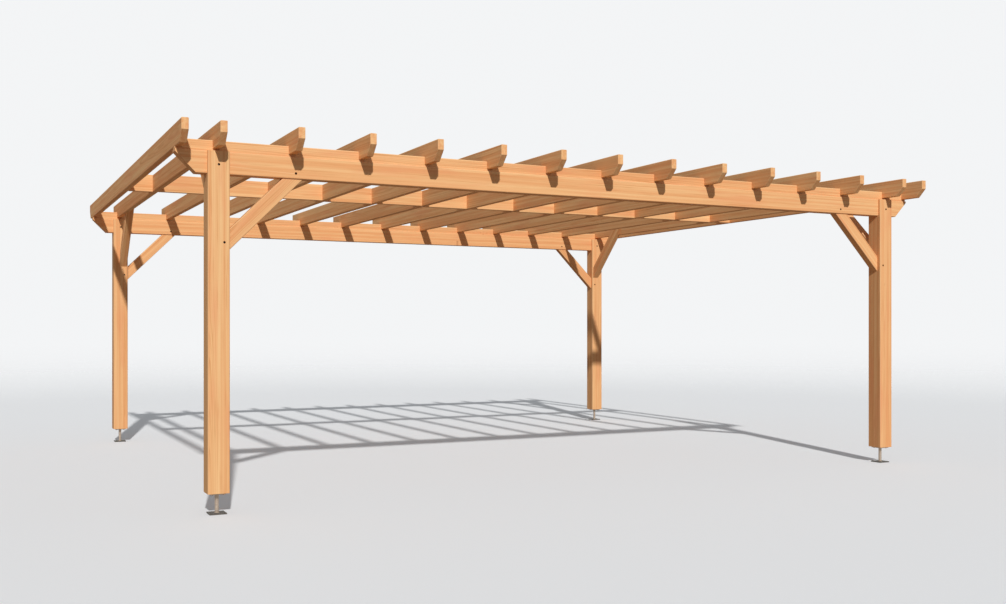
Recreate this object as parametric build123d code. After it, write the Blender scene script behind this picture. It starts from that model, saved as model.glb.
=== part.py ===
from build123d import *
import os

# A free-standing timber pergola: four posts on steel stand-off feet, a beam along each long side held
# in a fork at the post tops, a notched plate on each beam and fifteen rafters laid across the plates.
# X runs along the beams, Y across them, Z up; the origin is on the ground in the middle of the footprint.

# Footprint, measured to the outer faces of the posts
footprint_length = 6000.0
footprint_depth = 5000.0

# Posts
post_size = 140.0
post_length = 2205.0
post_cheek = 25.0
post_arris = 4.0

# Steel stand-off feet
base_plate_size = 110.0
base_plate_thickness = 8.0
base_hole_spacing = 80.0
base_hole_diameter = 11.0
stem_diameter = 26.0
stem_length = 121.0
head_plate_size = 100.0
head_plate_thickness = 8.0

# Beams
beam_height = 145.0
beam_overhang = 200.0
beam_end_cut = 130.0

# Notched plates that lie on the middle of the beams
plate_thickness = 70.0
plate_height = 70.0
rafter_seat_depth = 55.0

# Rafters: those over the posts stand a little outside the middle of the posts
rafter_width = 45.0
rafter_height = 145.0
rafter_overhang = 200.0
rafter_bays = 12
post_rafter_shift = 10.0
tail_cut = 72.5

# Blocking between the rafters at mid-span, every second block set forward so that each can be nailed
blocking_width = 45.0
blocking_height = 145.0
blocking_stagger = 45.0

# Braces
brace_thickness = 70.0
brace_depth = 95.0
beam_brace_leg = 492.0
tenon_thickness = 24.0
tenon_length = 60.0
tenon_shoulder = 12.0
rafter_brace_leg = 515.0
rafter_brace_inset = 10.0
rafter_brace_lap = 72.5

# Holes for the pins that hold each beam in its fork and each tenon in its mortise
pin_diameter = 16.0
pin_in_fork = 58.0
pin_in_tenon = 35.0
pin_from_tip = 50.0

# Long edges of every timber but the posts
timber_arris = 3.0

# Play left in the joints
side_play = 0.3
mortise_end_play = 3.0

# Places worked out from the sizes above
foot_height = base_plate_thickness + stem_length + head_plate_thickness
beam_thickness = post_size - 2 * post_cheek
post_x = (footprint_length - post_size) / 2
post_y = (footprint_depth - post_size) / 2
post_top = foot_height + post_length
beam_bottom = post_top - beam_height
beam_half_length = footprint_length / 2 + beam_overhang
plate_top = post_top + plate_height
rafter_bottom = plate_top - rafter_seat_depth
rafter_top = rafter_bottom + rafter_height
rafter_half_length = footprint_depth / 2 + rafter_overhang
rafter_pitch = 2 * post_x / rafter_bays
post_rafter_x = post_x + post_rafter_shift
fly_rafter_x = beam_half_length - rafter_width / 2
rafter_places = (
    [-fly_rafter_x, -post_rafter_x]
    + [-post_x + bay * rafter_pitch for bay in range(1, rafter_bays)]
    + [post_rafter_x, fly_rafter_x]
)
corners = {
    "front_left": (-1, -1),
    "front_right": (1, -1),
    "back_left": (-1, 1),
    "back_right": (1, 1),
}


def block(x_range, y_range, z_range):
    """A solid box between two limits on each axis."""
    size = [high - low for low, high in (x_range, y_range, z_range)]
    centre = [(high + low) / 2 for low, high in (x_range, y_range, z_range)]
    return Pos(*centre) * Box(*size)


def centred(middle, width):
    """The two limits of a width about its middle."""
    return (middle - width / 2, middle + width / 2)


def eased(timber, grain, arris):
    """A timber with its long edges, those along its grain, planed off at 45 degrees."""
    return chamfer(timber.edges().filter_by(Axis((0, 0, 0), grain)), arris)


def side_profile(points, plane, thickness):
    """A solid from an outline drawn on a plane, half its thickness to each side."""
    return extrude(plane * make_face(Polyline(*points, close=True)), thickness / 2, both=True)


def cut_back_profile(half_length, bottom, top, cut):
    """Outline of a level timber whose two lower ends are cut back at 45 degrees."""
    cut_start = half_length - cut
    return [
        (-half_length, top),
        (-half_length, bottom + cut),
        (-cut_start, bottom),
        (cut_start, bottom),
        (half_length, bottom + cut),
        (half_length, top),
    ]


def brace_points(leg, foot, head):
    """Outline of a brace at 45 degrees: foot against the upright face, head under the level one."""
    upright_cut = brace_depth * 2 ** 0.5
    return [
        (foot, head - leg),
        (foot, head - leg + upright_cut),
        (foot + leg - upright_cut, head),
        (foot + leg, head),
    ]


def tenon_points(leg, foot, head, length):
    """Outlines of the tenons at the foot and at the head of a brace."""
    upright_cut = brace_depth * 2 ** 0.5
    low = head - leg + tenon_shoulder
    high = head - leg + upright_cut
    near = foot + leg - upright_cut
    far = foot + leg - tenon_shoulder
    foot_tenon = [(foot, low), (foot, high), (foot - length, high), (foot - length, low)]
    head_tenon = [(near, head), (far, head), (far, head + length), (near, head + length)]
    return foot_tenon, head_tenon


def pin_holes(x_sign, y_sign):
    """The holes of one corner, right through along Y: in the fork, the foot tenon and the head tenon."""
    inner_face = post_x - post_size / 2
    places = [
        (post_x, beam_bottom + pin_in_fork),
        (inner_face + pin_in_tenon, beam_bottom - beam_brace_leg + pin_from_tip),
        (inner_face - beam_brace_leg + pin_from_tip, beam_bottom + pin_in_tenon),
    ]
    hole = Rot(90, 0, 0) * Cylinder(pin_diameter / 2, 2 * post_size)
    return [Pos(x_sign * x, y_sign * post_y, z) * hole for x, z in places]


def brace_plane(x_sign, y_sign):
    """The plane of a beam brace: its first axis points from the post to the middle of the beam."""
    return Plane(origin=(x_sign * post_x, y_sign * post_y, 0), x_dir=(-x_sign, 0, 0), z_dir=(0, x_sign, 0))


def beam_brace(x_sign, y_sign):
    """A brace from a post to the beam, with a pinned tenon on each end."""
    plane = brace_plane(x_sign, y_sign)
    solid = side_profile(brace_points(beam_brace_leg, post_size / 2, beam_bottom), plane, brace_thickness)
    solid = eased(solid, (-x_sign, 0, 1), timber_arris)
    for outline in tenon_points(beam_brace_leg, post_size / 2, beam_bottom, tenon_length):
        solid += side_profile(outline, plane, tenon_thickness)
    return solid - pin_holes(x_sign, y_sign)


def brace_mortises(x_sign, y_sign):
    """The pockets in a post and a beam that take the tenons of one brace."""
    plane = brace_plane(x_sign, y_sign)
    length = tenon_length + mortise_end_play
    return [
        side_profile(outline, plane, tenon_thickness + 2 * side_play)
        for outline in tenon_points(beam_brace_leg, post_size / 2, beam_bottom, length)
    ]


def rafter_brace(x_sign, y_sign):
    """A brace from a post to the rafter over it: its outer part ends under the rafter, the rest laps it."""
    middle = x_sign * (post_x - post_size / 2 + rafter_brace_inset + brace_thickness / 2)
    plane = Plane(origin=(middle, y_sign * post_y, 0), x_dir=(0, -y_sign, 0), z_dir=(-y_sign, 0, 0))
    outline = brace_points(rafter_brace_leg + rafter_brace_lap, post_size / 2, rafter_bottom + rafter_brace_lap)
    solid = eased(side_profile(outline, plane, brace_thickness), (0, -y_sign, 1), timber_arris)
    seat = centred(x_sign * post_rafter_x, rafter_width + 2 * side_play)
    return solid - block(seat, (-footprint_depth, footprint_depth), (rafter_bottom, rafter_top))


def post(x_sign, y_sign):
    """A post with a fork at its top for the beam and a mortise for its beam brace."""
    x, y = x_sign * post_x, y_sign * post_y
    solid = block(centred(x, post_size), centred(y, post_size), (foot_height, post_top))
    solid = eased(solid, (0, 0, 1), post_arris)
    fork = beam_thickness + 2 * side_play
    solid -= block(centred(x, 2 * post_size), centred(y, fork), (beam_bottom, post_top + post_arris))
    return solid - [brace_mortises(x_sign, y_sign)[0], *pin_holes(x_sign, y_sign)]


def post_foot(x_sign, y_sign):
    """A base plate, a round stem and a head plate under the post."""
    x, y = x_sign * post_x, y_sign * post_y
    stem_bottom = base_plate_thickness
    head_bottom = stem_bottom + stem_length
    solid = block(centred(x, base_plate_size), centred(y, base_plate_size), (0, stem_bottom))
    solid += Pos(x, y, stem_bottom + stem_length / 2) * Cylinder(stem_diameter / 2, stem_length)
    solid += block(centred(x, head_plate_size), centred(y, head_plate_size), (head_bottom, foot_height))
    hole = Cylinder(base_hole_diameter / 2, 2 * base_plate_thickness)
    holes = GridLocations(base_hole_spacing, base_hole_spacing, 2, 2)
    return solid - [Pos(x, y, 0) * place * hole for place in holes]


def beam(y_sign):
    """A beam with its lower ends cut back, and a mortise and pin holes at each post."""
    plane = Plane(origin=(0, y_sign * post_y, 0), x_dir=(1, 0, 0), z_dir=(0, -1, 0))
    outline = cut_back_profile(beam_half_length, beam_bottom, post_top, beam_end_cut)
    solid = eased(side_profile(outline, plane, beam_thickness), (1, 0, 0), timber_arris)
    for x_sign in (-1, 1):
        solid -= [brace_mortises(x_sign, y_sign)[1], *pin_holes(x_sign, y_sign)]
    return solid


def rafter_plate(y_sign):
    """A plate on a beam, notched for every rafter; the fly rafters close its two ends."""
    depth = centred(y_sign * post_y, plate_thickness)
    solid = block((-beam_half_length, beam_half_length), depth, (post_top, plate_top))
    solid = eased(solid, (1, 0, 0), timber_arris)
    for x in rafter_places:
        notch = centred(x, rafter_width + 2 * side_play)
        solid -= block(notch, centred(y_sign * post_y, 2 * plate_thickness), (rafter_bottom, rafter_top))
    return solid


def rafter(x):
    """A rafter with both tails cut back underneath."""
    plane = Plane(origin=(x, 0, 0), x_dir=(0, 1, 0), z_dir=(1, 0, 0))
    outline = cut_back_profile(rafter_half_length, rafter_bottom, rafter_top, tail_cut)
    return eased(side_profile(outline, plane, rafter_width), (0, 1, 0), timber_arris)


def mid_blocking():
    """One staggered row of blocks between the rafters, half way along them; the first stands behind."""
    blocks = []
    height = (rafter_top - blocking_height, rafter_top)
    middle = blocking_stagger / 2
    for left, right in zip(rafter_places, rafter_places[1:]):
        span = (left + rafter_width / 2, right - rafter_width / 2)
        blocks.append(eased(block(span, centred(middle, blocking_width), height), (1, 0, 0), timber_arris))
        middle = -middle
    return Compound(children=blocks)


def write(name, shape):
    """Writes one piece to its own file."""
    shape.label = name
    export_step(shape, os.path.join("parts", name + ".step"))


os.makedirs("parts", exist_ok=True)
for corner, signs in corners.items():
    write("post_" + corner, post(*signs))
    write("post_foot_" + corner, post_foot(*signs))
    write("beam_brace_" + corner, beam_brace(*signs))
    write("rafter_brace_" + corner, rafter_brace(*signs))
for side, y_sign in (("front", -1), ("back", 1)):
    write(side + "_beam", beam(y_sign))
    write(side + "_rafter_plate", rafter_plate(y_sign))
for number, x in enumerate(rafter_places, start=1):
    write(f"rafter_{number:02d}", rafter(x))
write("mid_blocking", mid_blocking())
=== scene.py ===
import math
import random

import bmesh
import bpy
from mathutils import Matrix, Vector


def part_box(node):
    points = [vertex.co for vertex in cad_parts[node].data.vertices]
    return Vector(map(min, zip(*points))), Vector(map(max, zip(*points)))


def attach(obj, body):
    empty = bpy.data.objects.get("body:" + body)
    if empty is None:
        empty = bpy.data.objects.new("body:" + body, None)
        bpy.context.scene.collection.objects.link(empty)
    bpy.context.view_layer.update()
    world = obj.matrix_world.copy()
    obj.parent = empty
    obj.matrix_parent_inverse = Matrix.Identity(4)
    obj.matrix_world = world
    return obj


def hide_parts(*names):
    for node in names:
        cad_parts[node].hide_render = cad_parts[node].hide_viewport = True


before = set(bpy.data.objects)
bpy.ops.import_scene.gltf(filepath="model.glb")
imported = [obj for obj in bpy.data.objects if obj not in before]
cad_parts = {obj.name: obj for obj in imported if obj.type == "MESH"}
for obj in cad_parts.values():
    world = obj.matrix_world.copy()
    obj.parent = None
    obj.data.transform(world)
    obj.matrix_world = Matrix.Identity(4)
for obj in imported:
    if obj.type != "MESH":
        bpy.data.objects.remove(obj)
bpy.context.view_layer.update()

# Lengths are in metres where nothing else is said

# Loose triangles are merged into whole flat faces
merge_distance = 0.00001
flat_angle = math.radians(0.5)

# Outer edges are rounded. Where an arris was planed off, the strip that it left is narrower than the limit
sharp_angle = math.radians(20)
timber_ease = 0.0016
steel_ease = 0.0008
ease_segments = 2
arris_strip_limit = 0.0075

# How light and how red each kind of timber is, from 0 to 1. A timber's kind is the longest of these names
# that its own name starts with, and each solid differs from its kind by up to the spread
tone_and_redness = {
    "post_front_left": (0.60, 0.20),
    "post_front_right": (0.60, 0.75),
    "post_back": (0.60, 0.45),
    "beam_brace_front": (0.50, 0.40),
    "beam_brace_back": (0.50, 0.60),
    "rafter_brace": (0.65, 0.60),
    "front_beam": (0.50, 0.50),
    "back_beam": (0.70, 0.50),
    "front_rafter_plate": (0.40, 0.65),
    "back_rafter_plate": (0.40, 0.65),
    "rafter": (0.65, 0.38),
    "mid_blocking": (0.60, 0.30),
}
shade_spread = 0.15

# The heart of the log lies between these distances from the middle of a timber, which may come from up to
# this far along the log, either way
nearest_heart = 0.045
farthest_heart = 0.130
log_reach = 40.0

# Growth rings: their width, and how far they stray from circles in slow drifts, in ripples, per metre along
# the tapering log and round a knot
ring_width = 0.0062
drift_bend = 0.060
ripple_bend = 0.004
log_taper = 0.004
knot_bend = 0.016

# Darkness through one ring, from its early wood to its late wood, and how much of that the faintest year has
season_stops = [(0.0, 0.12), (0.40, 0.08), (0.84, 1.0), (1.0, 0.15)]
faintest_year = 0.25

# Knots: how often there is a place for one, per metre of the log and round it, and the share without one
knots_along = 6.0
knots_round = 1.1
places_without_knot = 0.982

# How often a cut end shows a line from the heart to the bark
rays_round = 40.0

# Colours of oiled softwood, with a painted highlight for the eased arrises and painted shade for the walls of
# the pin holes
pale_wood = (0.865, 0.528, 0.262, 1)
honey_wood = (0.780, 0.392, 0.176, 1)
rosy_wood = (0.795, 0.345, 0.168, 1)
dark_wood = (0.50, 0.175, 0.045, 1)
knot_wood = (0.36, 0.135, 0.045, 1)
# Painted highlight: lighter wood laid on every eased arris, where the edge would catch the light
painted_arris_highlight = (1.0, 0.70, 0.40, 1)
# Painted shade: near-black wood laid on the walls of the pin holes, where shade falls
painted_hole_shade = (0.20, 0.07, 0.015, 1)

# How strongly each of them covers what lies under it
rosy_share = 0.55
latewood_share = 0.42
extra_latewood_on_ends = 0.20
streak_share = 0.46
fibre_share = 0.12
knot_share = 0.50
ray_share = 0.30
# How strongly the painted highlight covers the arrises and the painted shade covers the walls of the holes
painted_arris_highlight_share = 0.25
painted_hole_shade_share = 0.85

# Tints of a timber with redness 0 and with redness 1, and its lightness with tone 0 and what tone 1 adds
yellow_tint = (1.0, 1.07, 1.06, 1)
red_tint = (1.0, 0.90, 0.84, 1)
lowest_lightness = 0.90
lightness_range = 0.20

# Gloss and roughness of the wood: fibres and cut ends are rougher, and latewood has more sheen
wood_gloss = 0.04
wood_roughness = 0.78
fibre_roughness = 0.08
end_roughness = 0.06
latewood_sheen = 0.06

# Relief of the wood: its full depth, and the shares of it by which fibres stand out and latewood and knots
# lie deeper
wood_relief = 0.0006
wood_relief_strength = 0.35
fibre_height = 0.50
latewood_depth = 0.35
knot_depth = 0.50

# Zinc: a warm grey that differs by crystal and by cloud
zinc_grey = 0.41
crystal_range = 0.12
cloud_range = 0.14
zinc_tint = (1.0, 0.80, 0.62, 1)
zinc_metal = 0.55
zinc_roughness = 0.42
crystal_roughness = 0.12
zinc_relief = 0.0002
zinc_relief_strength = 0.40

# Dirt trodden on the base plates, which lie below this height: how well it covers and dulls the zinc
dirt_height = 0.0081
dirt_colour = (0.095, 0.085, 0.070, 1)
thinnest_dirt = 0.75
dirt_range = 0.50
dirt_roughness = 0.25
dirt_dulling = 0.35

# Steel pins in the joints, driven in below the face of the timber
pin_radius = 0.0077
pin_chamfer = 0.0015
pin_sides = 20
pin_sink = 0.026
pin_in_fork = 0.058
pin_in_tenon = 0.035
pin_from_tip = 0.050

# Plates of the feet
base_plate_thickness = 0.008
head_plate_thickness = 0.008

# Hexagon-headed screws that hold each post down on its head plate
screw_spacing = 0.070
screw_corner_radius = 0.0060
screw_head_height = 0.0035
screw_head_sides = 6
washer_radius = 0.0090
washer_thickness = 0.0012
washer_sides = 28

# Welds round both ends of each stem
stem_radius = 0.013
weld_radius = 0.0032
weld_ripple = 0.0009
weld_ripples = 46.0
points_round_weld = 138
points_round_bead = 10

# The photograph's frame and the height of its horizon, in pixels
image_width = 1006
image_height = 604
horizon_row = 326.3

# The camera stands level, at chest height, in front of the left half of the pergola. Its lens and sensor are
# in millimetres
camera_place = Vector((-4.382, -9.4356, 1.214))
camera_turn = math.radians(26.746)
camera_lens = 38.14
camera_sensor = 36.0
camera_reach = 500.0

# The light comes from the front, over the left shoulder
towards_sun = Vector((-0.24, -1.0, 0.68))
sun_strength = 3.1
sun_angle = math.radians(1.5)
sky_light = 0.28
sky_colour = (0.94, 1.0, 1.08, 1)
backdrop_colour = (0.90, 0.91, 0.92, 1)

# The floor throws back dim, warm light, and fades away between two distances from its middle. A little is
# added to each distance, because the fade divides by it
floor_radius = 120.0
floor_sides = 96
fade_start = 9.0
fade_end = 90.0
added_distance = 0.1
floor_colour = (0.86, 0.86, 0.855, 1)
floor_bounce = (0.235, 0.158, 0.105, 1)
floor_roughness = 0.9

upright = Vector((0, 0, 1))
quarter_turn = math.radians(90)
sides = ("front", "back")
corners = {
    "front_left": (-1, -1),
    "front_right": (1, -1),
    "back_left": (-1, 1),
    "back_right": (1, 1),
}


class Wire:
    """One output of a node, on which maths is written as plain expressions."""

    def __init__(self, tree, socket):
        self.tree = tree
        self.socket = socket

    def other(self, output):
        """Another output of the same node."""
        return Wire(self.tree, self.socket.node.outputs[output])

    def maths(self, operation, *values):
        return self.tree.maths(operation, self, *values)

    def __add__(self, value):
        return self.maths("ADD", value)

    def __sub__(self, value):
        return self.maths("SUBTRACT", value)

    def __rsub__(self, value):
        return self.tree.maths("SUBTRACT", value, self)

    def __mul__(self, value):
        return self.maths("MULTIPLY", value)

    def __truediv__(self, value):
        return self.maths("DIVIDE", value)

    def __rtruediv__(self, value):
        return self.tree.maths("DIVIDE", value, self)

    def __pow__(self, value):
        return self.maths("POWER", value)

    def __gt__(self, value):
        return self.maths("GREATER_THAN", value)

    __radd__ = __add__
    __rmul__ = __mul__


class Tree:
    """A tree of nodes, with one method that makes any node."""

    def __init__(self, tree):
        self.tree = tree
        tree.nodes.clear()

    def node(self, kind, settings=None, inputs=None, output=0):
        """A new node, as a wire from one of its outputs. An input is a value, a wire or a list of wires."""
        made = self.tree.nodes.new(kind)
        for name, value in (settings or {}).items():
            if name == "stops":
                self.set_stops(made.color_ramp, value)
            else:
                setattr(made, name, value)
        for key, value in (inputs or {}).items():
            wires = value if isinstance(value, list) else [value]
            if isinstance(wires[0], Wire):
                for wire in wires:
                    self.tree.links.new(wire.socket, made.inputs[key])
            else:
                made.inputs[key].default_value = value
        return Wire(self, made.outputs[output]) if len(made.outputs) else None

    @staticmethod
    def set_stops(ramp, stops):
        while len(ramp.elements) < len(stops):
            ramp.elements.new(1.0)
        for element, (place, level) in zip(ramp.elements, stops):
            element.position = place
            element.color = (level, level, level, 1)

    def maths(self, operation, *values):
        return self.node("ShaderNodeMath", {"operation": operation}, dict(enumerate(values)))

    def vector(self, x, y, z):
        return self.node("ShaderNodeCombineXYZ", {}, {0: x, 1: y, 2: z})

    def seen(self):
        """1 where the viewer sees a surface, straight, in a gloss or through another, and 0 for its light."""
        rays = self.node("ShaderNodeLightPath", {}, {}, "Is Camera Ray")
        straight_or_gloss = rays.maths("MAXIMUM", rays.other("Is Glossy Ray"))
        return straight_or_gloss.maths("MAXIMUM", rays.other("Is Transmission Ray"))


class Finish(Tree):
    """A material."""

    def __init__(self, name):
        self.material = bpy.data.materials.new(name)
        self.material.use_nodes = True
        super().__init__(self.material.node_tree)

    def attribute(self, name, output="Fac"):
        return self.node("ShaderNodeAttribute", {"attribute_name": name}, {}, output)

    def place(self):
        return self.node("ShaderNodeTexCoord", {}, {}, "Object")

    def parts(self, vector):
        """The three numbers of a vector."""
        first = self.node("ShaderNodeSeparateXYZ", {}, {0: vector})
        return [first.other(number) for number in range(3)]

    def grey(self, level):
        return self.node("ShaderNodeCombineColor", {}, {0: level, 1: level, 2: level})

    def noise(self, vector, scale=1.0, detail=2.0, roughness=0.5):
        values = {"Vector": vector, "Scale": scale, "Detail": detail, "Roughness": roughness}
        return self.node("ShaderNodeTexNoise", {}, values)

    def cells(self, vector, scale=1.0, feature="F1", output="Distance"):
        values = {"Vector": vector, "Scale": scale}
        return self.node("ShaderNodeTexVoronoi", {"feature": feature}, values, output)

    def chance(self, number):
        """A fixed random number from 0 to 1 for each whole number."""
        return self.node("ShaderNodeTexWhiteNoise", {"noise_dimensions": "1D"}, {"W": number})

    def ramp(self, number, stops):
        return self.node("ShaderNodeValToRGB", {"stops": stops}, {0: number})

    def ease(self, number, low, high):
        """0 below the low limit, 1 above the high one, and a smooth step between."""
        limits = {"Value": number, "From Min": low, "From Max": high}
        return self.node("ShaderNodeMapRange", {"interpolation_type": "SMOOTHSTEP"}, limits)

    def blend(self, share, first, second, mode="MIX"):
        """Two colours mixed."""
        settings = {"data_type": "RGBA", "blend_type": mode}
        return self.node("ShaderNodeMix", settings, {0: share, 6: first, 7: second}, 2)

    def bump(self, height, distance, strength):
        values = {"Strength": strength, "Distance": distance, "Height": height}
        return self.node("ShaderNodeBump", {}, values)

    def surface(self, **inputs):
        values = {name.replace("_", " "): value for name, value in inputs.items()}
        return self.node("ShaderNodeBsdfPrincipled", {}, values)

    def finish(self, shader):
        self.node("ShaderNodeOutputMaterial", {}, {"Surface": shader})
        return self.material


class Grain:
    """Patterns that follow the grain of a timber, measured from the heart of its log."""

    def __init__(self, finish):
        self.finish = finish
        self.along, self.across, self.up = finish.parts(finish.attribute("grain", "Vector"))
        self.radius = (self.across * self.across + self.up * self.up) ** 0.5

    def bearing(self, rate):
        """Two numbers that change round the heart and not with the distance from it."""
        return self.across / self.radius * rate, self.up / self.radius * rate

    def streaks(self, along, across, detail=2.0, roughness=0.5):
        """Noise drawn out along the grain, with how often it changes in a metre along it and across it."""
        place = self.finish.vector(self.along * along, self.across * across, self.up * across)
        return self.finish.noise(place, detail=detail, roughness=roughness)

    def knots(self):
        """How far knots push the rings aside, and where their dark cores are."""
        finish = self.finish
        place = finish.vector(self.along * knots_along, *self.bearing(knots_round))
        from_middle = finish.cells(place)
        from_edge = finish.cells(place, feature="DISTANCE_TO_EDGE")
        rare = finish.parts(from_middle.other("Color"))[0] > places_without_knot
        swirl = (1 - finish.ease(from_middle, low=0.0, high=0.6)) * finish.ease(from_edge, low=0.0, high=0.2)
        core = 1 - finish.ease(from_middle, low=0.05, high=0.14)
        return swirl * rare, core * rare

    def latewood(self, swirl):
        """The dark part of each growth ring, fainter in some years."""
        drift = self.streaks(along=0.55, across=5)
        ripple = self.streaks(along=3.5, across=30)
        reach = self.radius + (drift - 0.5) * drift_bend + (ripple - 0.5) * ripple_bend
        ring = (reach + self.along * log_taper + swirl * knot_bend) / ring_width
        year = self.finish.chance(ring.maths("FLOOR"))
        season = self.finish.ramp(ring.maths("FRACT"), season_stops)
        return season * (faintest_year + (1 - faintest_year) * year)

    def rays(self):
        """Fine lines from the heart to the bark."""
        place = self.finish.vector(*self.bearing(rays_round), self.along)
        return self.finish.ease(self.finish.noise(place, detail=1.0), low=0.60, high=0.72)


def oiled_softwood():
    """Planed and oiled softwood, with the grain of one log through all sides of a timber."""
    wood = Finish("oiled_softwood")
    grain = Grain(wood)
    end_cut = wood.attribute("end_cut")
    swirl, knot_core = grain.knots()
    latewood = grain.latewood(swirl)
    band = grain.streaks(along=0.35, across=42, detail=3.0, roughness=0.55)
    patch = grain.streaks(along=1.8, across=14, detail=3.0)
    streak = grain.streaks(along=2.2, across=120, detail=3.0, roughness=0.6)
    fibre = grain.streaks(along=11, across=800, roughness=0.6)

    colour = wood.blend(wood.ease(band, low=0.32, high=0.68), honey_wood, pale_wood)
    colour = wood.blend(wood.ease(patch, low=0.50, high=0.75) * rosy_share, colour, rosy_wood)
    colour = wood.blend(latewood * (latewood_share + extra_latewood_on_ends * end_cut), colour, dark_wood)
    streaks_seen = wood.ease(streak, low=0.52, high=0.76) * streak_share * (1 - end_cut)
    colour = wood.blend(streaks_seen, colour, dark_wood)
    colour = wood.blend(wood.ease(fibre, low=0.50, high=0.85) * fibre_share, colour, dark_wood)
    colour = wood.blend(knot_core * knot_share, colour, knot_wood)
    colour = wood.blend(grain.rays() * end_cut * ray_share, colour, dark_wood)
    tint = wood.blend(wood.attribute("redness"), yellow_tint, red_tint)
    colour = wood.blend(1.0, colour, tint, "MULTIPLY")
    lightness = lowest_lightness + lightness_range * wood.attribute("tone")
    colour = wood.blend(1.0, colour, wood.grey(lightness), "MULTIPLY")
    # Painted highlight on the strips of eased arrises
    colour = wood.blend(wood.attribute("eased") * painted_arris_highlight_share, colour, painted_arris_highlight)
    # Painted shade on the walls of the pin holes
    colour = wood.blend(wood.attribute("bored") * painted_hole_shade_share, colour, painted_hole_shade)

    roughness = wood_roughness + fibre_roughness * fibre + end_roughness * end_cut - latewood_sheen * latewood
    height = fibre * fibre_height - latewood * latewood_depth - knot_core * knot_depth
    shader = wood.surface(Base_Color=colour, Roughness=roughness, Specular_IOR_Level=wood_gloss,
                          Normal=wood.bump(height, wood_relief, wood_relief_strength))
    return wood.finish(shader)


def galvanised_steel():
    """Hot-dip galvanised steel: dull zinc in flat crystals of slightly different greys."""
    zinc = Finish("galvanised_steel")
    place = zinc.place()
    crystal = zinc.parts(zinc.cells(place, scale=130.0, output="Color"))[0]
    cloud = zinc.noise(place, scale=22.0, detail=4.0, roughness=0.6)
    smear = zinc.noise(place, scale=60.0, detail=4.0, roughness=0.7)
    dirt = zinc.attribute("trodden") * (thinnest_dirt + dirt_range * smear)

    grey = zinc_grey + crystal_range * crystal + cloud_range * (cloud - 0.5)
    colour = zinc.blend(1.0, zinc.grey(grey), zinc_tint, "MULTIPLY")
    colour = zinc.blend(dirt, colour, dirt_colour)
    roughness = zinc_roughness + crystal_roughness * crystal + dirt_roughness * dirt
    height = zinc.noise(place, scale=260.0, detail=3.0, roughness=0.6)
    shader = zinc.surface(Base_Color=colour, Metallic=zinc_metal - dirt_dulling * dirt, Roughness=roughness,
                          Normal=zinc.bump(height, zinc_relief, zinc_relief_strength))
    return zinc.finish(shader)


def new_object(name, data):
    made = bpy.data.objects.new(name, data)
    bpy.context.scene.collection.objects.link(made)
    return made


def merged_copy(node):
    """The mesh of a CAD node as whole flat faces, instead of loose triangles."""
    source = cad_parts[node].data
    work = bmesh.new()
    places = [work.verts.new(vertex.co) for vertex in source.vertices]
    for face in source.polygons:
        work.faces.new([places[number] for number in face.vertices])
    bmesh.ops.remove_doubles(work, verts=work.verts, dist=merge_distance)
    bmesh.ops.dissolve_limit(work, angle_limit=flat_angle, verts=work.verts, edges=work.edges)
    return work


def round_edges(work, ease):
    """Rounds every sharp outer edge, and marks the round faces smooth."""
    outer = [edge for edge in work.edges if edge.is_manifold and edge.is_convex]
    sharp = [edge for edge in outer if edge.calc_face_angle() > sharp_angle]
    made = bmesh.ops.bevel(work, geom=sharp, offset=ease, segments=ease_segments, profile=0.5,
                           affect="EDGES", clamp_overlap=True)
    for face in made["faces"]:
        face.smooth = True


def solids_of(work):
    """The vertices of each solid in a mesh, always in the same order."""
    reached = set()
    solids = []
    for first in work.verts:
        if first in reached:
            continue
        reached.add(first)
        solid = [first]
        for vertex in solid:
            for edge in vertex.link_edges:
                neighbour = edge.other_vert(vertex)
                if neighbour not in reached:
                    reached.add(neighbour)
                    solid.append(neighbour)
        solids.append(solid)
    return solids


def lay_grain(work, along, tone, redness, chance):
    """Gives every solid its own place in a log, its own tone and its own redness."""
    across = Vector((1, 0, 0)) if along == upright else upright.cross(along).normalized()
    up = along.cross(across)
    grain = work.verts.layers.float_vector.new("grain")
    tone_layer = work.verts.layers.float.new("tone")
    redness_layer = work.verts.layers.float.new("redness")
    for solid in solids_of(work):
        middle = sum((vertex.co for vertex in solid), Vector()) / len(solid)
        heart_turn = chance.uniform(0, 2 * math.pi)
        heart_distance = chance.uniform(nearest_heart, farthest_heart)
        heart = Vector((chance.uniform(-log_reach, log_reach), heart_distance * math.cos(heart_turn),
                        heart_distance * math.sin(heart_turn)))
        own_tone = tone + chance.uniform(-shade_spread, shade_spread)
        own_redness = redness + chance.uniform(-shade_spread, shade_spread)
        for vertex in solid:
            reach = vertex.co - middle
            vertex[grain] = Vector((reach.dot(along), reach.dot(across), reach.dot(up))) + heart
            vertex[tone_layer] = own_tone
            vertex[redness_layer] = own_redness


def mark_faces(work, along):
    """Marks how far each face cuts across the grain, the strips of eased arrises, which get a painted
    highlight, and the walls of holes, which get painted shade.
    """
    end_cut = work.faces.layers.float.new("end_cut")
    eased = work.faces.layers.float.new("eased")
    bored = work.faces.layers.float.new("bored")
    for face in work.faces:
        longest = max(edge.calc_length() for edge in face.edges)
        narrow = face.calc_area() / longest < arris_strip_limit
        joined = [edge for edge in face.edges if edge.is_manifold]
        hollow = [edge for edge in joined if edge.calc_face_angle_signed() < -flat_angle]
        in_hole = narrow and len(hollow) > 1
        face[end_cut] = abs(face.normal.dot(along))
        face[eased] = float(narrow and not in_hole)
        # The walls of holes are marked for painted shade
        face[bored] = float(in_hole)


def finished_piece(work, name, node, material):
    """A mesh that stands for a CAD node."""
    mesh = bpy.data.meshes.new(name)
    work.to_mesh(mesh)
    work.free()
    mesh.materials.append(material)
    piece = new_object(name, mesh)
    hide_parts(node)
    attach(piece, "root")


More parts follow.
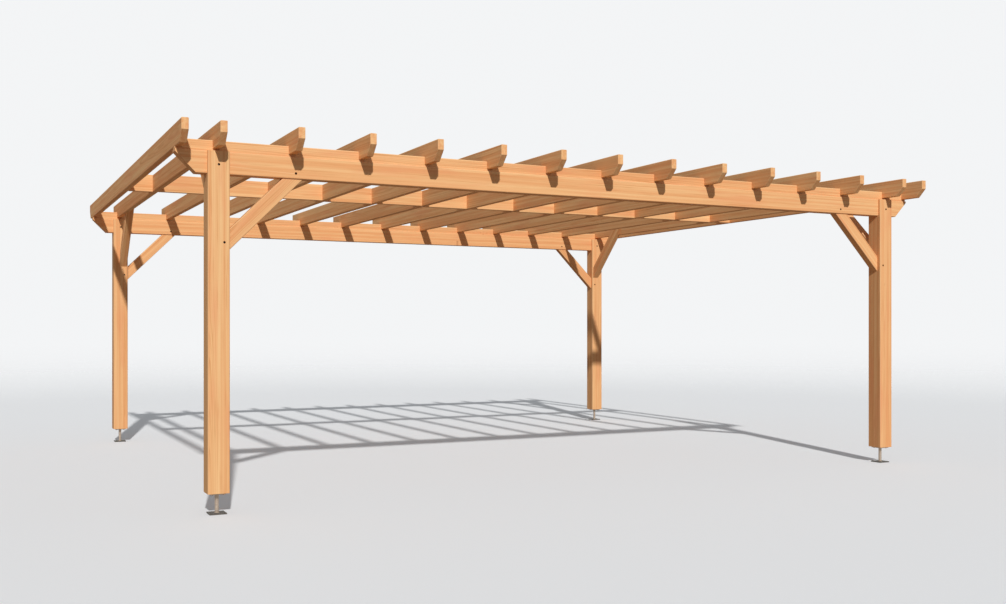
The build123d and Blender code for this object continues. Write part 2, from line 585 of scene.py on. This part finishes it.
def timber(node, direction, wood, seed):
    """A timber with eased arrises and its own cut of the log, in place of its CAD node."""
    work = merged_copy(node)
    round_edges(work, timber_ease)
    along = Vector(direction).normalized()
    kind = max((name for name in tone_and_redness if node.startswith(name)), key=len)
    lay_grain(work, along, *tone_and_redness[kind], random.Random(seed))
    mark_faces(work, along)
    finished_piece(work, "planed_" + node, node, wood)


def timbers():
    """Every timber, with the direction of its grain."""
    found = {}
    for corner, (x_sign, y_sign) in corners.items():
        found["post_" + corner] = (0, 0, 1)
        found["beam_brace_" + corner] = (-x_sign, 0, 1)
        found["rafter_brace_" + corner] = (0, -y_sign, 1)
    for side in sides:
        found[side + "_beam"] = (1, 0, 0)
        found[side + "_rafter_plate"] = (1, 0, 0)
    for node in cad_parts:
        if node.startswith("rafter_") and not node.startswith("rafter_brace_"):
            found[node] = (0, 1, 0)
    found["mid_blocking"] = (1, 0, 0)
    return found


def foot(corner, zinc):
    """A stand-off foot with softened plate edges and a trodden base plate."""
    node = "post_foot_" + corner
    work = merged_copy(node)
    round_edges(work, steel_ease)
    trodden = work.faces.layers.float.new("trodden")
    for face in work.faces:
        face[trodden] = float(face.calc_center_median().z < dirt_height)
    finished_piece(work, "zinc_foot_" + corner, node, zinc)


class Pattern(Tree):
    """A tree that sets out one small part at every point of a mesh, with named sizes."""

    def __init__(self, name, sizes):
        group = bpy.data.node_groups.new(name, "GeometryNodeTree")
        super().__init__(group)
        group.interface.new_socket("Geometry", in_out="INPUT", socket_type="NodeSocketGeometry")
        group.interface.new_socket("finish", in_out="INPUT", socket_type="NodeSocketMaterial")
        for size in sizes:
            group.interface.new_socket(size, in_out="INPUT", socket_type="NodeSocketFloat")
        group.interface.new_socket("Geometry", in_out="OUTPUT", socket_type="NodeSocketGeometry")
        self.entry = self.node("NodeGroupInput")

    def given(self, name):
        return self.entry.other(name)

    def rod(self, faces, radius, depth, height):
        """An upright rod of so many side faces about the origin, its middle at a height."""
        sizes = {"Vertices": faces, "Radius": radius, "Depth": depth}
        mesh = self.node("GeometryNodeMeshCylinder", {}, sizes)
        lift = self.vector(0, 0, height)
        return self.node("GeometryNodeTransform", {}, {"Geometry": mesh, "Translation": lift})

    def circle(self, points, radius):
        return self.node("GeometryNodeCurvePrimitiveCircle", {}, {"Resolution": points, "Radius": radius})

    def set_out(self, part, turn=(0, 0, 0)):
        """The part at every point, made real, in the given finish."""
        values = {"Points": self.given("Geometry"), "Instance": part, "Rotation": turn}
        copies = self.node("GeometryNodeInstanceOnPoints", {}, values)
        real = self.node("GeometryNodeRealizeInstances", {}, {"Geometry": copies})
        values = {"Geometry": real, "Material": self.given("finish")}
        finished = self.node("GeometryNodeSetMaterial", {}, values)
        self.node("NodeGroupOutput", {}, {0: finished})


def pin_pattern():
    """A round pin lying along Y, with chamfered ends."""
    pin = Pattern("drift_pin", ["radius", "length", "chamfer"])
    radius = pin.given("radius")
    chamfer = pin.given("chamfer")
    sizes = {"Vertices": pin_sides, "Radius": radius, "Depth": pin.given("length") - 2 * chamfer}
    rod = pin.node("GeometryNodeMeshCylinder", {}, sizes)
    both = {0: rod.other("Top"), 1: rod.other("Bottom")}
    ends = pin.node("FunctionNodeBooleanMath", {"operation": "OR"}, both)
    values = {"Mesh": rod, "Selection": ends, "Offset Scale": chamfer}
    drawn_out = pin.node("GeometryNodeExtrudeMesh", {"mode": "FACES"}, values)
    values = {"Geometry": drawn_out, "Selection": drawn_out.other("Top"), "Scale": 1 - chamfer / radius}
    pin.set_out(pin.node("GeometryNodeScaleElements", {"domain": "FACE"}, values), (quarter_turn, 0, 0))
    return pin


def screw_pattern():
    """A washer and a hexagon head under a plate."""
    screw = Pattern("plate_screw", ["corner_radius", "head_height", "washer_radius", "washer_thickness"])
    thickness = screw.given("washer_thickness")
    head_height = screw.given("head_height")
    washer_middle = 0 - thickness / 2
    washer = screw.rod(washer_sides, screw.given("washer_radius"), thickness, washer_middle)
    head_middle = 0 - thickness - head_height / 2
    head = screw.rod(screw_head_sides, screw.given("corner_radius"), head_height, head_middle)
    screw.set_out(screw.node("GeometryNodeJoinGeometry", {}, {0: [head, washer]}))
    return screw


def weld_pattern():
    """A rippled bead round a stem."""
    weld = Pattern("weld", ["ring_radius", "bead_radius", "ripple", "ripples"])
    ring = weld.circle(points_round_weld, weld.given("ring_radius"))
    section = weld.circle(points_round_bead, weld.given("bead_radius"))
    turn = weld.node("GeometryNodeSplineParameter") * weld.given("ripples") * (2 * math.pi)
    swelling = 1 + weld.given("ripple") / weld.given("bead_radius") * turn.maths("SINE") / 2
    values = {"Curve": ring, "Profile Curve": section, "Scale": swelling}
    weld.set_out(weld.node("GeometryNodeCurveToMesh", {}, values))
    return weld


def small_parts(name, pattern, places, zinc, **sizes):
    """The small parts of one pattern at their places, as one plain mesh."""
    points = bpy.data.meshes.new(name)
    points.from_pydata(places, [], [])
    piece = new_object(name, points)
    builder = piece.modifiers.new("set_out", "NODES")
    builder.node_group = pattern.tree
    values = {"finish": zinc, **sizes}
    for item in pattern.tree.interface.items_tree:
        if item.in_out == "INPUT" and item.name in values:
            builder[item.identifier] = values[item.name]
    view = bpy.context.evaluated_depsgraph_get()
    mesh = bpy.data.meshes.new_from_object(piece.evaluated_get(view), depsgraph=view)
    piece.modifiers.clear()
    piece.data = mesh
    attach(piece, "root")


def depth(node):
    """The size of a node from front to back."""
    low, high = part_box(node)
    return high.y - low.y


def pins(zinc):
    """Two pins through each post, in its fork and in its brace, and one through the beam and the brace."""
    through_posts = []
    through_beams = []
    for corner, (x_sign, _) in corners.items():
        post_low, post_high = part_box("post_" + corner)
        middle = (post_low + post_high) / 2
        brace_low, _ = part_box("beam_brace_" + corner)
        beam_low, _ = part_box(corner.split("_")[0] + "_beam")
        inner_face = middle.x - x_sign * (post_high.x - post_low.x) / 2
        brace_tip = inner_face - x_sign * (beam_low.z - brace_low.z)
        through_posts.append((middle.x, middle.y, beam_low.z + pin_in_fork))
        through_posts.append((inner_face + x_sign * pin_in_tenon, middle.y, brace_low.z + pin_from_tip))
        through_beams.append((brace_tip + x_sign * pin_from_tip, middle.y, beam_low.z + pin_in_tenon))
    pattern = pin_pattern()
    small_parts("pins_through_posts", pattern, through_posts, zinc, radius=pin_radius, chamfer=pin_chamfer,
                length=depth("post_back_right") - 2 * pin_sink)
    small_parts("pins_through_beams", pattern, through_beams, zinc, radius=pin_radius, chamfer=pin_chamfer,
                length=depth("back_beam") - 2 * pin_sink)


def screws_and_welds(zinc):
    """Four screws under each head plate, and a weld round each end of its stem."""
    screws = []
    welds = []
    for corner in corners:
        post_low, post_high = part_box("post_" + corner)
        middle = (post_low + post_high) / 2
        _, foot_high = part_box("post_foot_" + corner)
        plate_underside = foot_high.z - head_plate_thickness
        for x_step in (-screw_spacing / 2, screw_spacing / 2):
            for y_step in (-screw_spacing / 2, screw_spacing / 2):
                screws.append((middle.x + x_step, middle.y + y_step, plate_underside))
        for end in (plate_underside, base_plate_thickness):
            welds.append((middle.x, middle.y, end))
    small_parts("head_plate_screws", screw_pattern(), screws, zinc,
                corner_radius=screw_corner_radius, head_height=screw_head_height,
                washer_radius=washer_radius, washer_thickness=washer_thickness)
    small_parts("stem_welds", weld_pattern(), welds, zinc,
                ring_radius=stem_radius, bead_radius=weld_radius, ripple=weld_ripple, ripples=weld_ripples)


def floor():
    """A pale level floor that fades into the backdrop."""
    work = bmesh.new()
    bmesh.ops.create_circle(work, cap_ends=True, segments=floor_sides, radius=floor_radius)
    mesh = bpy.data.meshes.new("floor")
    work.to_mesh(mesh)
    work.free()
    pale = Finish("pale_floor")
    x, y, _ = pale.parts(pale.place())
    nearness = 1 / ((x * x + y * y) ** 0.5 + added_distance)
    colour = pale.blend(pale.seen(), floor_bounce, floor_colour)
    near = pale.surface(Base_Color=colour, Roughness=floor_roughness)
    far = pale.node("ShaderNodeBsdfTransparent")
    share = pale.ease(nearness, low=1 / fade_end, high=1 / fade_start)
    mesh.materials.append(pale.finish(pale.node("ShaderNodeMixShader", {}, {0: share, 1: far, 2: near})))
    new_object("floor", mesh)


def light():
    """One sun, and an even sky that shows as a pale backdrop."""
    sun = bpy.data.lights.new("sun", "SUN")
    sun.energy = sun_strength
    sun.angle = sun_angle
    lamp = new_object("sun", sun)
    lamp.rotation_mode = "QUATERNION"
    lamp.rotation_quaternion = towards_sun.to_track_quat("Z", "Y")
    world = bpy.data.worlds.new("studio")
    bpy.context.scene.world = world
    world.use_nodes = True
    sky = Tree(world.node_tree)
    lit = sky.node("ShaderNodeBackground", {}, {"Color": sky_colour, "Strength": sky_light})
    shown = sky.node("ShaderNodeBackground", {}, {"Color": backdrop_colour})
    mixed = sky.node("ShaderNodeMixShader", {}, {0: sky.seen(), 1: lit, 2: shown})
    sky.node("ShaderNodeOutputWorld", {}, {"Surface": mixed})


def camera():
    """The view of the photograph: level, with the frame shifted up to keep the uprights parallel."""
    data = bpy.data.cameras.new("camera")
    data.lens = camera_lens
    data.sensor_width = camera_sensor
    data.shift_y = (horizon_row - image_height / 2) / image_width
    data.clip_end = camera_reach
    made = new_object("camera", data)
    made.location = camera_place
    made.rotation_euler = (quarter_turn, 0, -camera_turn)
    bpy.context.scene.camera = made


camera()
light()
floor()
wood = oiled_softwood()
zinc = galvanised_steel()
for seed, (node, direction) in enumerate(timbers().items(), start=1):
    timber(node, direction, wood, seed)
for corner in corners:
    foot(corner, zinc)
pins(zinc)
screws_and_welds(zinc)
bpy.context.scene.view_settings.view_transform = "Standard"
